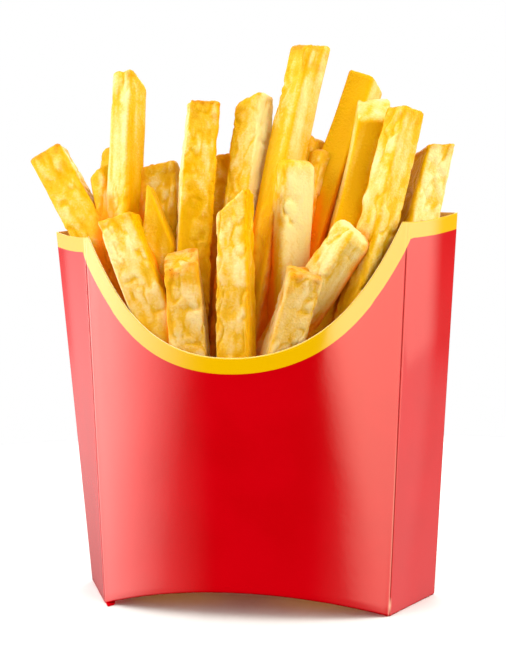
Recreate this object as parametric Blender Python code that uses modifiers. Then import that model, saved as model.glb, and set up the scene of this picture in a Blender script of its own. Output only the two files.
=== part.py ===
"""French fries standing in a scoop-front carton.

The carton is one folded piece of board: a bulging front whose top edge is scooped out, a bulging back
with an arched top, two slanting sides, an arched base and two side flaps tucked under the base. The
fries are one heap, solid out to its uneven outline: a core that fills the carton's foot, and the fries
that stand in it.

The parts are made about the middle of the carton's base: X runs across the front, Y to the back and Z
up. The last step moves them all, so that the whole object's box stands on the origin with its middle.
"""

import math
import random
from collections import namedtuple

import bmesh
import bpy
import numpy as np
from mathutils import Matrix, Vector

MM = 0.001
WELD = 0.001 * MM

# Carton. A pair holds the value at the foot and the value at the top.
BOARD = 0.5 * MM
FRONT_HEIGHT = 110 * MM
BACK_CORNER_HEIGHT = 114 * MM
BACK_ARCH = 10 * MM
FRONT_HALF_WIDTH = (41.5 * MM, 49 * MM)
BACK_HALF_WIDTH = (54.5 * MM, 63.5 * MM)
CORNER_DEPTH = (11 * MM, 6 * MM)
FRONT_BULGE = (11.5 * MM, 8.5 * MM)
BACK_BULGE = (12 * MM, 12 * MM)
BASE_ARCH = 8 * MM
SCOOP_LOW = 72 * MM
SCOOP_SPAN = 0.97
FLAP_DEPTH = 8 * MM
FLAP_TAPER = 4 * MM
FLAP_INSET = 0.15 * MM
PANEL_STEPS = 28
SIDE_STEPS = 3
HEIGHT_STEPS = 7

# Core of the heap: what fills the carton's foot, drawn in from the walls
CLEARANCE = 0.3 * MM
CORE_TOP = 64 * MM
CORE_INSET = 1.6 * MM
CORE_STEPS = 14
CORE_LAYERS = 3

# Every fry is a bevelled stick, a little thinner at both ends.
FRY_ROUNDING = 1.5 * MM
FRY_END_SCALE = 0.95
FRY_CUTS = 2
SHARP_ANGLE = math.radians(35)

# A fry, in millimetres and degrees: its tip, its lean to the right and to the back, its length, its
# width and thickness, its turn about its own length, how steeply its cut end rises to the right and
# to the back, and how far its middle bows to the right.
Fry = namedtuple("Fry", "x y z lean pitch length width thickness turn rise_right rise_back bow",
                 defaults=(0, 0, 0))

# The fries that show from the front, from the left to the right.
FRONT_FRIES = [
    Fry(-68.5, 7, 140.5, -31, 6, 92, 10.8, 9.0, 4, -6, 8),
    Fry(-37.4, 5, 163, 2, 1, 104, 9.2, 9.0, 65, -8, -25, -0.8),
    Fry(-44, 9, 141, -2, 8, 82, 8.4, 8.4, 66),
    Fry(-50, 8, 132, -14, 9, 76, 8.4, 8.4, 67, 14, 0),
    Fry(-38, -6, 115.5, -22, 3, 72, 10.8, 9.4, 0, -8, 6),
    Fry(-27.4, -1, 123, -13, 0, 66, 8.2, 8.0, 48, -50, 0),
    Fry(-29, 10, 134.5, -1, 2, 84, 10.6, 8.6, 6, 10, 0),
    Fry(-12.2, 1, 151.5, 3, 1, 100, 10.2, 9.6, 33, 0, 8, -1.5),
    Fry(-17, -10, 101.5, -5, 0, 76, 11.2, 8.6, 8, 0, 42),
    Fry(-9, 11, 136.5, 0, 2, 86, 9.8, 8.4, 7, 8, 0),
    Fry(3.2, 6, 153, 7, 2, 96, 10.4, 9.4, 76, 24, 0),
    Fry(-0.3, -10, 117.5, 0, 2, 92, 10.0, 9.6, -4, 38, 0),
    Fry(21.5, 6, 168.5, 12, 2, 104, 9.4, 9.2, 56, 6, 18, -1.0),
    Fry(17, -2, 131, 5, -6, 92, 10.6, 9.4, 36),
    Fry(19.5, 12, 141, 10, 6, 82, 8.4, 8.4, 52),
    Fry(24, 9, 135, 15, 3, 76, 9.2, 9.0, 52),
    Fry(37.6, 12, 158, 19, 4, 92, 10.8, 9.6, 72, -12, 0),
    Fry(40, 4, 146.5, 15, 2, 90, 10.2, 9.0, 18, -6, 48, 1.2),
    Fry(49.4, -3, 143.5, 15, 0, 94, 9.2, 9.0, 46, 4, 6),
    Fry(58, 4.5, 133.5, 14, 3, 84, 9.6, 9.2, 33, 20, 0),
    Fry(34.5, -9, 108, 36, -13, 60, 11.2, 10.2, 51, -10, 0),
    Fry(20, -11, 96.5, 18, -3, 66, 9.6, 8.6, 33, 0, 18),
]

# Fries that only fill the heap, in millimetres and degrees. Their rows run across the carton. They lean
# out like a fan and end below the fries in front of them, at least a spacing from any other fry.
FILLER_ROWS = (6, 9.5)
FILLER_REACH = 54
FILLER_STEP = 3
FILLER_SIDE = 8.6
FILLER_SPACING = 7
FILLER_WALL_ROOM = 6.2
FILLER_ROOT = 95
FILLER_TOPS = (104, 114)
FILLER_TOP_SPREAD = 4
FILLER_LENGTHS = (56, 80)
FILLER_SEED = 5
FAN_LEAN = 0.35
LEAN_CHOICES = (0, -5, 5, -10, 10, -16, 16)
CROWDED_HEIGHTS = (92, 120)
WALL_HEIGHTS = (70, 95)


def mix(pair, part):
    """The value a part of the way from a pair's first value to its second."""
    return pair[0] + (pair[1] - pair[0]) * part


def panel_point(side, across, height):
    """A point of the bulging front (side -1) or back (side 1), for across from -1 to 1."""
    part = height / FRONT_HEIGHT
    half_width, bulge = (FRONT_HALF_WIDTH, FRONT_BULGE) if side < 0 else (BACK_HALF_WIDTH, BACK_BULGE)
    depth = mix(CORNER_DEPTH, part) + mix(bulge, part) * (1 - across * across)
    return np.array([across * mix(half_width, part), side * depth, height])


def front_point(across, height):
    return panel_point(-1, across, height)


def back_point(across, height):
    return panel_point(1, across, height)


def side_point(along, height, sign):
    """A point of a flat side, for along from 0 at the front corner to 1 at the back corner."""
    return (1 - along) * front_point(sign, height) + along * back_point(sign, height)


def base_height(across):
    """The base and the foot of front and back arch up between the corners."""
    return BASE_ARCH * (1 - across * across)


def scoop_height(across):
    """The front's top edge: a wide bowl, a blend of a square and a fourth power."""
    u = min(abs(across) / SCOOP_SPAN, 1)
    return SCOOP_LOW + (FRONT_HEIGHT - SCOOP_LOW) * (u**2 + u**4) / 2


def back_height(across):
    return BACK_CORNER_HEIGHT + BACK_ARCH * (1 - across**2) ** 1.5


def side_height(along):
    return FRONT_HEIGHT + (BACK_CORNER_HEIGHT - FRONT_HEIGHT) * along**1.5


def carton_columns():
    """The wall's columns, anticlockwise from above, each a list of points from its foot to its top."""
    across = np.linspace(-1, 1, PANEL_STEPS + 1)
    along = np.linspace(0, 1, SIDE_STEPS + 1)[1:-1]
    runs = [(lambda z, s=s: front_point(s, z), base_height(s), scoop_height(s)) for s in across]
    runs += [(lambda z, t=t: side_point(t, z, 1), 0, side_height(t)) for t in along]
    runs += [(lambda z, s=s: back_point(s, z), base_height(s), back_height(s)) for s in across[::-1]]
    runs += [(lambda z, t=t: side_point(t, z, -1), 0, side_height(t)) for t in along[::-1]]
    heights = [np.linspace(foot, top, HEIGHT_STEPS + 1) for _, foot, top in runs]
    return [[point(z) for z in levels] for (point, _, _), levels in zip(runs, heights)]


def new_object(name, bm, collection, material=None):
    """Makes a mesh object of a bmesh and frees it."""
    bmesh.ops.recalc_face_normals(bm, faces=bm.faces)
    mesh = bpy.data.meshes.new(name)
    bm.to_mesh(mesh)
    bm.free()
    obj = bpy.data.objects.new(name, mesh)
    collection.objects.link(obj)
    if material:
        mesh.materials.append(material)
    return obj


def add_grid(bm, rows):
    """Joins rows of as many points each with quads."""
    verts = [[bm.verts.new(point) for point in row] for row in rows]
    for near, far in zip(verts, verts[1:]):
        for i in range(len(near) - 1):
            bm.faces.new((near[i], far[i], far[i + 1], near[i + 1]))


def open_carton():
    """The carton's outer surface, open at the top: its wall's columns, and the base between their feet."""
    columns = carton_columns()
    back_start = PANEL_STEPS + SIDE_STEPS
    front_foot = [column[0] for column in columns[:PANEL_STEPS + 1]]
    back_foot = [column[0] for column in columns[back_start:back_start + PANEL_STEPS + 1]][::-1]
    base = [[mix(pair, part) for pair in zip(front_foot, back_foot)]
            for part in np.linspace(0, 1, SIDE_STEPS + 1)]
    bm = bmesh.new()
    add_grid(bm, columns + columns[:1])
    add_grid(bm, base)
    bmesh.ops.remove_doubles(bm, verts=bm.verts, dist=WELD)
    return bm


def side_flap(sign):
    """A tapered flap of board that lies flat under the base, along a side's foot."""
    front_corner = Vector(front_point(sign, 0))
    back_corner = Vector(back_point(sign, 0))
    along = (back_corner - front_corner).normalized()
    inward = Vector((-sign * along.y, sign * along.x, 0))
    bm = bmesh.new()
    bmesh.ops.create_cube(bm, size=1)
    for vert in bm.verts:
        depth, taper = (FLAP_INSET, FLAP_INSET) if vert.co.x < 0 else (FLAP_DEPTH, FLAP_TAPER)
        corner = front_corner + along * taper if vert.co.y < 0 else back_corner - along * taper
        vert.co = corner + inward * depth + Vector((0, 0, BOARD if vert.co.z > 0 else 0))
    return bm


def make_carton(parts, helpers, material):
    carton = new_object("carton", open_carton(), parts, material)
    shell = carton.modifiers.new("board", "SOLIDIFY")
    shell.thickness = BOARD
    shell.offset = -1
    shell.use_even_offset = True
    for sign, name in ((-1, "left"), (1, "right")):
        flap = new_object(f"flap_{name}", side_flap(sign), helpers)
        join = carton.modifiers.new(f"flap_{name}", "BOOLEAN")
        join.operation = "UNION"
        join.object = flap
    return carton


def fry_direction(fry):
    """The unit vector from a fry's foot to its tip."""
    lean = math.tan(math.radians(fry.lean))
    pitch = math.tan(math.radians(fry.pitch))
    return Vector((lean, pitch, 1)).normalized()


def fry_mesh(fry):
    """A fry as a stick of potato: a bevelled box, bowed, thinner at its ends, with a slanting cut."""
    bm = bmesh.new()
    bmesh.ops.create_cube(bm, size=1)
    uprights = [edge for edge in bm.edges if edge.verts[0].co.z != edge.verts[1].co.z]
    bmesh.ops.subdivide_edges(bm, edges=uprights, cuts=FRY_CUTS, use_grid_fill=True)
    turn = Matrix.Rotation(math.radians(fry.turn), 4, "Z")
    width, thickness, length = (size * MM for size in (fry.width, fry.thickness, fry.length))
    for vert in bm.verts:
        part = vert.co.z + 0.5
        scale = FRY_END_SCALE if part in (0, 1) else 1
        vert.co = turn @ Vector((vert.co.x * width * scale, vert.co.y * thickness * scale, 0))
        slant = vert.co.x * math.tan(math.radians(fry.rise_right))
        slant += vert.co.y * math.tan(math.radians(fry.rise_back))
        vert.co.z = length * (part - 1) + (slant if part == 1 else 0)
        vert.co.x += fry.bow * MM * math.sin(math.pi * part)
    sharp = [edge for edge in bm.edges if edge.calc_face_angle(0) > SHARP_ANGLE]
    bmesh.ops.bevel(bm, geom=sharp, offset=FRY_ROUNDING, segments=1, affect="EDGES")
    upright = Vector((0, 0, 1)).rotation_difference(fry_direction(fry)).to_matrix().to_4x4()
    tip = Matrix.Translation(Vector((fry.x, fry.y, fry.z)) * MM)
    bm.transform(tip @ upright)
    return bm


def axis_point(fry, height):
    """Where a fry's axis crosses a height, in millimetres."""
    direction = fry_direction(fry)
    return Vector((fry.x, fry.y, fry.z)) + direction * ((height - fry.z) / direction.z)


def crowds(fry, others):
    """Whether a fry would stand inside another one, judged at a few heights."""
    for other in others:
        foot = other.z - other.length * fry_direction(other).z
        low, high = CROWDED_HEIGHTS
        for height in np.linspace(low, min(fry.z, other.z, high), 6):
            apart = (axis_point(fry, height) - axis_point(other, height)).length
            if height >= foot and apart < FILLER_SPACING:
                return True
    return False


def wall_distance(point):
    """How far a point is from the nearest wall of the carton, below 0 when it is outside."""
    x, y, height = abs(point.x), point.y, point.z
    front_corner, back_corner = front_point(1, height), back_point(1, height)
    front_y = front_point(min(x / front_corner[0], 1), height)[1]
    back_y = back_point(min(x / back_corner[0], 1), height)[1]
    along = (back_corner - front_corner) / np.linalg.norm(back_corner - front_corner)
    from_side = along[0] * (y - front_corner[1]) - along[1] * (x - front_corner[0])
    return min(y - front_y, back_y - y, from_side)


def clears_walls(fry):
    return all(wall_distance(axis_point(fry, height) * MM) > FILLER_WALL_ROOM * MM
               for height in WALL_HEIGHTS)


def filler_fries():
    """Short fries on a lattice, each at the first lean that fits, kept where no fry stands yet."""
    draw = random.Random(FILLER_SEED)
    fillers = []
    for row, mean_top in zip(FILLER_ROWS, FILLER_TOPS):
        for x in range(-FILLER_REACH, FILLER_REACH + 1, FILLER_STEP):
            top = mean_top + draw.uniform(-FILLER_TOP_SPREAD, FILLER_TOP_SPREAD)
            length = draw.uniform(*FILLER_LENGTHS)
            turn = draw.uniform(0, 90)
            for offset in LEAN_CHOICES:
                lean = FAN_LEAN * x + offset
                tip_x = x + (top - FILLER_ROOT) * math.tan(math.radians(lean))
                fry = Fry(tip_x, row, top, lean, 0, length, FILLER_SIDE, FILLER_SIDE, turn, -offset, offset)
                if clears_walls(fry) and not crowds(fry, FRONT_FRIES + fillers):
                    fillers.append(fry)
                    break
    return fillers


def core_point(side, across, part):
    """A point of the core's side, a part of the way from its foot to its top, drawn in from the wall."""
    foot = base_height(across) + 2 * BOARD + CORE_INSET / 2
    x, y, z = panel_point(side, across, foot + (CORE_TOP - foot) * part)
    return x * (1 - CORE_INSET / FRONT_HALF_WIDTH[0]), y - side * CORE_INSET, z


def core_mesh():
    """What fills the carton's foot: closed rings one above the other, with a face between panels as lids."""
    across = np.linspace(-1, 1, CORE_STEPS + 1)
    parts = np.linspace(0, 1, CORE_LAYERS + 1)
    sheets = [[[core_point(side, s, part) for s in across] for part in parts] for side in (-1, 1)]
    front, back = sheets
    bm = bmesh.new()
    for sheet in sheets:
        add_grid(bm, sheet)
    for end in (0, -1):
        add_grid(bm, [[row[end] for row in front], [row[end] for row in back]])
        add_grid(bm, [front[end], back[end]])
    bmesh.ops.remove_doubles(bm, verts=bm.verts, dist=WELD)
    return bm


def make_heap(parts, helpers, material):
    """The heap of fries: core and sticks in one, cut back from the carton's board by a clearance."""
    heap = new_object("fries", core_mesh(), parts, material)
    sticks = bpy.data.collections.new("fry_sticks")
    helpers.children.link(sticks)
    for number, fry in enumerate(FRONT_FRIES + filler_fries()):
        new_object(f"stick_{number:02d}", fry_mesh(fry), sticks)
    join = heap.modifiers.new("sticks", "BOOLEAN")
    join.operation = "UNION"
    join.operand_type = "COLLECTION"
    join.collection = sticks
    board_cutter = new_object("board_cutter", open_carton(), helpers)
    thicken = board_cutter.modifiers.new("board_and_gap", "SOLIDIFY")
    thicken.thickness = BOARD + 2 * CLEARANCE
    thicken.offset = -BOARD / thicken.thickness
    thicken.use_even_offset = True
    cut = heap.modifiers.new("board_cutter", "BOOLEAN")
    cut.operation = "DIFFERENCE"
    cut.object = board_cutter
    apply_modifiers(heap)
    fill_pockets(heap)
    return heap


def apply_modifiers(obj):
    """Keeps an object's evaluated mesh as its own."""
    bpy.context.view_layer.update()
    evaluated = obj.evaluated_get(bpy.context.evaluated_depsgraph_get())
    obj.data = bpy.data.meshes.new_from_object(evaluated)
    obj.modifiers.clear()


def shell_of(face):
    """All faces that a face is joined to across edges."""
    found, waiting = {face}, [face]
    while waiting:
        for edge in waiting.pop().edges:
            for other in edge.link_faces:
                if other not in found:
                    found.add(other)
                    waiting.append(other)
    return found


def fill_pockets(obj):
    """Removes the shells inside a solid that close off air between its sticks: they face inwards."""
    bm = bmesh.new()
    bm.from_mesh(obj.data)
    bmesh.ops.triangulate(bm, faces=bm.faces)
    unseen = set(bm.faces)
    pockets = []
    while unseen:
        shell = shell_of(next(iter(unseen)))
        unseen -= shell
        corners = [[vert.co for vert in face.verts] for face in shell]
        if sum(a.dot(b.cross(c)) for a, b, c in corners) < 0:
            pockets += shell
    bmesh.ops.delete(bm, geom=pockets, context="FACES")
    bm.to_mesh(obj.data)
    bm.free()


def material(name, colour, roughness):
    made = bpy.data.materials.new(name)
    made.use_nodes = True
    shader = made.node_tree.nodes["Principled BSDF"]
    shader.inputs["Base Color"].default_value = (*colour, 1)
    shader.inputs["Roughness"].default_value = roughness
    return made


def stand_on_origin(objects, movers):
    """Moves the movers so that the middle of the foot of the objects' common box is the origin."""
    bpy.context.view_layer.update()
    graph = bpy.context.evaluated_depsgraph_get()
    corners = []
    for obj in objects:
        evaluated = obj.evaluated_get(graph)
        mesh = evaluated.to_mesh()
        points = np.empty(len(mesh.vertices) * 3, np.float32)
        mesh.vertices.foreach_get("co", points)
        points = points.reshape(-1, 3)
        corners += [points.min(axis=0), points.max(axis=0)]
        evaluated.to_mesh_clear()
    low, high = np.min(corners, axis=0), np.max(corners, axis=0)
    shift = Vector((-(low[0] + high[0]) / 2, -(low[1] + high[1]) / 2, -low[2]))
    for obj in movers:
        obj.location = shift


def main():
    for obj in list(bpy.data.objects):
        bpy.data.objects.remove(obj, do_unlink=True)
    parts = bpy.data.collections.new("french_fries_in_carton")
    helpers = bpy.data.collections.new("cutters")
    for collection in (parts, helpers):
        bpy.context.scene.collection.children.link(collection)
    red_board = material("red_board", (0.60, 0.004, 0.010), 0.25)
    potato = material("fried_potato", (0.86, 0.46, 0.06), 0.5)
    carton = make_carton(parts, helpers, red_board)
    heap = make_heap(parts, helpers, potato)
    for obj in helpers.all_objects:
        obj.hide_render = True
        obj.display_type = "WIRE"
    stand_on_origin([carton, heap], [carton, heap] + list(helpers.all_objects))


main()
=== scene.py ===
# %% [markdown]
# # French fries in a scoop carton
# A portion of fries stands in a carton that is folded from one printed blank. This lesson builds
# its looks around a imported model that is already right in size: the frame. Everything here is in
# the frame's metres, but shapes are worked out in millimetres about the middle of the carton's
# base, with X to the right across the front, Y to the back and Z up, and are moved into the frame
# at the very end.

# %% Load the frame
import itertools
import math
import random
from collections import namedtuple

import bmesh
import bpy
import numpy as np
from mathutils import Matrix, Vector


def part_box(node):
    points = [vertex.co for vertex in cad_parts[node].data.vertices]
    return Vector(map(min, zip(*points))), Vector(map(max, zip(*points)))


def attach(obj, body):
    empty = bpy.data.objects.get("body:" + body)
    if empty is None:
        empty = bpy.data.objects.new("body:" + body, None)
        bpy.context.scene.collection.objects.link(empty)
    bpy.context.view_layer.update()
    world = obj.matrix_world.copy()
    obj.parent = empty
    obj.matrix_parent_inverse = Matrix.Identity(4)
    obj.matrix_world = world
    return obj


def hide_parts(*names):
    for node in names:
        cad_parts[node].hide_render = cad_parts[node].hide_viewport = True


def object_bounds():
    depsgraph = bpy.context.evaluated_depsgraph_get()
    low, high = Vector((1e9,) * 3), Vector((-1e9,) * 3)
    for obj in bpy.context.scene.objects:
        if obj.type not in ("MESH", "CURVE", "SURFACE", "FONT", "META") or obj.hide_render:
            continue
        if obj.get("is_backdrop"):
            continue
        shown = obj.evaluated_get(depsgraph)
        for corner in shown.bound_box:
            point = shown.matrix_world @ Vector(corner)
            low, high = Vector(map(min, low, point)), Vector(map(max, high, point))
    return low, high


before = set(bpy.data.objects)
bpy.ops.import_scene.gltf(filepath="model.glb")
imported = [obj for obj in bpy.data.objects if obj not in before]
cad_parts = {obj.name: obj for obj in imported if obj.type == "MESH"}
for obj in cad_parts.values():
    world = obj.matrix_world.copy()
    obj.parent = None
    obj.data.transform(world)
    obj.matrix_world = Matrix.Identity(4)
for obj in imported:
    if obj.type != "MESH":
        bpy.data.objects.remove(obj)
cad_low, cad_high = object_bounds()
MM = 0.001
cad_size = [round(side / MM, 1) for side in cad_high - cad_low]
print("frame:", sorted(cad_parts), "size mm:", cad_size)

# %% [markdown]
# ## Small tools
# A colour picked on a screen is an sRGB value, but a shader adds up light, which is linear. One
# function turns the one into the other. Another adds a shader node, sets its fields and links its
# inputs, which keeps every material below as short as a recipe. Two kinds of node come back often:
# Map Range, whose inputs 0 to 4 are the value, the range it comes from and the range it goes to,
# and Mix, whose input 0 is a share and whose inputs 6 and 7 are the two colours that it goes
# between.

# %% Colours and nodes
COLOURS = {"data_type": "RGBA"}
SMOOTH_RAMP = {"interpolation_type": "SMOOTHSTEP"}


def linear(hex_colour, alpha=1.0):
    """An sRGB hex colour as linear RGBA: each channel is raised by the sRGB curve."""
    channels = [int(hex_colour[i:i + 2], 16) / 255 for i in (1, 3, 5)]
    curved = [c / 12.92 if c <= 0.04045 else ((c + 0.055) / 1.055) ** 2.4 for c in channels]
    return (*curved, alpha)


def set_inputs(node, inputs):
    """Sets or links inputs, given by name or number. A node stands for its first output in use."""
    for key, value in inputs.items():
        if isinstance(value, bpy.types.Node):
            value = next(output for output in value.outputs if output.enabled)
        if isinstance(value, bpy.types.NodeSocket):
            node.id_data.links.new(value, node.inputs[key])
        else:
            node.inputs[key].default_value = value


def add_node(tree, kind, inputs=None, **fields):
    """Adds a shader node of a kind, sets its fields, and sets or links its inputs."""
    node = tree.nodes.new("ShaderNode" + kind)
    for field, value in fields.items():
        setattr(node, field, value)
    set_inputs(node, inputs or {})
    return node


def new_material(name):
    """A material with a Principled shader and nothing else, its node tree and that shader."""
    material = bpy.data.materials.new(name)
    material.use_nodes = True
    return material, material.node_tree, material.node_tree.nodes["Principled BSDF"]


print("golden yellow in linear light:", [round(c, 3) for c in linear("#F4B63C")])

# %% [markdown]
# Fried potato is never smooth, so its surface needs noise that many thousands of points can share
# at once. Value noise is the simplest kind: every corner of a lattice of cubes holds a random
# number, and a point blends the eight corners round it. Whole numpy arrays go through it in one
# call.

# %% Noise and meshes from arrays
NOISE_TABLE = np.random.default_rng(7).uniform(-1, 1, 4096)
LATTICE_PRIMES = (73856093, 19349663, 83492791)


def smooth(values, low, high):
    """0 below low, 1 above high, and 3t^2 - 2t^3 between them."""
    t = np.clip((values - low) / (high - low), 0, 1)
    return t * t * (3 - 2 * t)


def noise(points, shift=0.0):
    """Value noise from -1 to 1: the eight corners round each point, blended by 3t^2 - 2t^3."""
    points = np.asarray(points, float) + shift
    cell = np.floor(points).astype(np.int64)
    part = points - cell
    part = part * part * (3 - 2 * part)
    total = np.zeros(points.shape[:-1])
    for corner in itertools.product((0, 1), repeat=3):
        x, y, z = np.moveaxis((cell + corner) * LATTICE_PRIMES, -1, 0)
        weight = np.prod(np.where(np.array(corner) == 1, part, 1 - part), axis=-1)
        total += weight * NOISE_TABLE[(x ^ y ^ z) & 4095]
    return total


def rough_noise(points, octaves, shift=0.0):
    """Noise at several scales: each octave is twice as fine and half as strong as the last."""
    layers = [noise(points * 2**i, shift + 17 * i) / 2**i for i in range(octaves)]
    return sum(layers) / sum(0.5**i for i in range(octaves))


def grid_faces(rows, columns, closed=True):
    """Four-cornered faces of a grid of rows x columns points, closed round its columns or open."""
    row, column = np.meshgrid(np.arange(rows - 1), np.arange(columns - (not closed)), indexing="ij")
    after = (column + 1) % columns
    corners = (row * columns + column, row * columns + after, (row + 1) * columns + after,
               (row + 1) * columns + column)
    return np.stack(corners, -1).reshape(-1, 4)


def unit(vectors):
    """Each vector over its own length."""
    return vectors / np.linalg.norm(vectors, axis=-1, keepdims=True)


def new_object(name, data):
    """An object that shows the data, linked to the scene."""
    made = bpy.data.objects.new(name, data)
    bpy.context.scene.collection.objects.link(made)
    return made


def make_piece(name, points, faces, materials, attributes=None, face_materials=None):
    """A mesh object from arrays: points in mm about the carton's base, and four-cornered faces."""
    mesh = bpy.data.meshes.new(name)
    mesh.vertices.add(len(points))
    mesh.vertices.foreach_set("co", (points * MM + CARTON_MIDDLE).astype(np.float32).ravel())
    mesh.loops.add(faces.size)
    mesh.loops.foreach_set("vertex_index", faces.astype(np.int32).ravel())
    mesh.polygons.add(len(faces))
    mesh.polygons.foreach_set("loop_start", np.arange(len(faces), dtype=np.int32) * faces.shape[1])
    for attribute, values in (attributes or {}).items():
        layer = mesh.attributes.new(attribute, "FLOAT", "POINT")
        layer.data.foreach_set("value", values.astype(np.float32))
    for material in materials:
        mesh.materials.append(material)
    if face_materials is not None:
        mesh.polygons.foreach_set("material_index", face_materials.astype(np.int32))
    mesh.update(calc_edges=True)
    mesh.shade_smooth()
    return new_object(name, mesh)


def merge_doubles(piece, distance=0.002 * MM):
    """Joins the points that lie on each other, such as those at a seam."""
    bm = bmesh.new()
    bm.from_mesh(piece.data)
    bmesh.ops.remove_doubles(bm, verts=bm.verts, dist=distance)
    bm.to_mesh(piece.data)
    bm.free()


spread = noise(np.random.default_rng(1).uniform(0, 50, (10000, 3)))
print("noise runs from", round(spread.min(), 2), "to", round(spread.max(), 2))

# %% [markdown]
# ## The carton
# The blank is 0.5 mm board. Its front and back panels bulge, because the sides push them apart, and
# the fold lines between them lean out towards the top. The front is cut down in a wide scoop, the
# back stands up in an arch, and the foot arches as well. Each panel is one formula of two
# parameters: how far across it a point lies, from -1 to 1, and how high. The sizes are the packed
# model's own.

# %% Sizes of the carton, in millimetres
FRONT_HEIGHT = 110
BACK_HEIGHT = 114
BACK_ARCH = 10
FRONT_HALF_WIDTH = (41.5, 49)
BACK_HALF_WIDTH = (54.5, 63.5)
CORNER_DEPTH = (11, 6)
FRONT_BULGE = (11.5, 8.5)
BACK_BULGE = (12, 12)
BASE_ARCH = 8
SCOOP_LOW = 72
SCOOP_SPAN = 0.97
BOARD = 0.5


def mix(pair, part):
    """The value a part of the way from a pair's first value to its second."""
    return pair[0] + (pair[1] - pair[0]) * part


def panel(side, across, height):
    """A point of the front (side -1) or back (side 1): a parabola across, straight up and down."""
    part = height / FRONT_HEIGHT
    half_width = FRONT_HALF_WIDTH if side < 0 else BACK_HALF_WIDTH
    bulge = FRONT_BULGE if side < 0 else BACK_BULGE
    depth = mix(CORNER_DEPTH, part) + mix(bulge, part) * (1 - across**2)
    return np.stack(np.broadcast_arrays(across * mix(half_width, part), side * depth, height), -1)


def corners(sign, height):
    """The front and the back corner of a side (1 right, -1 left) at each height."""
    return panel(-1, sign, height), panel(1, sign, height)


def foot_height(across):
    """The foot of front and back arches up between the corners, as a parabola."""
    return BASE_ARCH * (1 - across**2)


def scoop_height(across):
    """The front's top edge: a wide bowl, half a square and half a fourth power."""
    u = np.minimum(np.abs(across) / SCOOP_SPAN, 1)
    return SCOOP_LOW + (FRONT_HEIGHT - SCOOP_LOW) * (u**2 + u**4) / 2


def back_height(across):
    """The back's top edge: an arch that runs out level at the corners."""
    return BACK_HEIGHT + BACK_ARCH * (1 - across**2) ** 1.5


box_low, box_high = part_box("carton")
lean_in = CORNER_DEPTH[0] - CORNER_DEPTH[1] + FRONT_BULGE[0] - FRONT_BULGE[1]
own_low_y = -CORNER_DEPTH[0] - FRONT_BULGE[0]
own_low_y += BASE_ARCH / FRONT_HEIGHT * lean_in
CARTON_MIDDLE = np.array([(box_low.x + box_high.x) / 2, box_low.y - own_low_y * MM, box_low.z])
print("the carton's middle in the frame, mm:", np.round(CARTON_MIDDLE / MM, 2))

# %% [markdown]
# The wall is one closed band of columns: across the front, along the right side, back across the
# back and along the left side. Columns crowd at the four fold lines, where the board is scored: the
# rule that presses the score leaves a groove a few tenths of a millimetre wide with a low shoulder
# beside it. Rows crowd at the rim, so that the printed band has a clean edge, and at the foot,
# where the board folds under with a small radius.

# %% Columns of the wall
FOLD_SAMPLES = np.array([0, 0.1, 0.22, 0.36, 0.52, 0.75, 1.05, 1.5])
PANEL_COLUMNS, PANEL_LENGTH = 84, 100
SIDE_COLUMNS, SIDE_LENGTH = 14, 22
RIM_ROWS = np.arange(0, 7.01, 0.5)
WALL_ROWS = 44
FOLD_RADIUS = 0.6
FOLD_ROWS = 5


def crowded(count, length):
    """Parameters from 0 to 1 along a length in mm: even steps, and closer ones at both folds."""
    near = FOLD_SAMPLES / length
    middle = np.linspace(near[-1], 1 - near[-1], count)[1:-1]
    return np.concatenate([near, middle, 1 - near[::-1]])


ACROSS = crowded(PANEL_COLUMNS, PANEL_LENGTH) * 2 - 1
ALONG = crowded(SIDE_COLUMNS, SIDE_LENGTH)[1:-1]
CREASE_COLUMNS = (0, len(ACROSS) - 1, len(ACROSS) + len(ALONG), 2 * len(ACROSS) + len(ALONG) - 1)


def side_wall(along, height, sign):
    """A flat side: the straight line from the front corner to the back corner at each height."""
    along = along[:, None] if np.ndim(height) == 2 else along
    near, far = corners(sign, height)
    return near + (far - near) * along[..., None]


def column_values(front, right, back, left):
    """One value for each column of the band, from a function of each wall's own parameter."""
    return np.concatenate([front(ACROSS), right(ALONG), back(ACROSS[::-1]), left(ALONG[::-1])])


def side_top(along):
    """A side's top edge: it rises from the front corner to the back one, slowly at first."""
    return FRONT_HEIGHT + (BACK_HEIGHT - FRONT_HEIGHT) * along**1.5


TOPS = column_values(scoop_height, side_top, back_height, side_top)
FEET = column_values(foot_height, lambda t: 0 * t, foot_height, lambda t: 0 * t)
print(len(TOPS), "columns; the rim lies from", TOPS.min().round(1), "to", TOPS.max().round(1), "mm")

# %% [markdown]
# The band's points are worked out as one array: heights first, then the panel formulas, then a
# small shift along the surface normal for the grooves, the fold at the foot and the slight waviness
# that board has after it was bent. The base is stretched between the four feet as a Coons patch,
# which blends two pairs of facing edges, so it meets the wall point for point.

# %% Surface of the carton
GROOVE_DEPTH, GROOVE_WIDTH = 0.16, 0.26
SHOULDER_HEIGHT, SHOULDER_PLACE = 0.05, 0.8
WAVE_HEIGHT = 0.12
MITRE_COLUMNS, MITRE_ROWS, MITRE_REACH = 26, 45, 9
LINE_STEPS, MEMORY_SLICES = 12, 60


def wall_points(heights):
    """Points of the band for an array of heights, one row of heights for each column."""
    n, m = len(ACROSS), len(ALONG)
    starts = np.cumsum([0, n, m, n, m])
    front, right, back, left = (heights[a:b] for a, b in zip(starts, starts[1:]))
    return np.concatenate([
        panel(-1, ACROSS[:, None], front), side_wall(ALONG, right, 1),
        panel(1, ACROSS[::-1, None], back), side_wall(ALONG[::-1], left, -1)])


def band_normals(points):
    """Outward unit normals: across the step round the band and the step up it."""
    around = np.roll(points, -1, axis=0) - np.roll(points, 1, axis=0)
    upward = np.gradient(points, axis=1)
    return unit(np.cross(around, upward))


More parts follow.
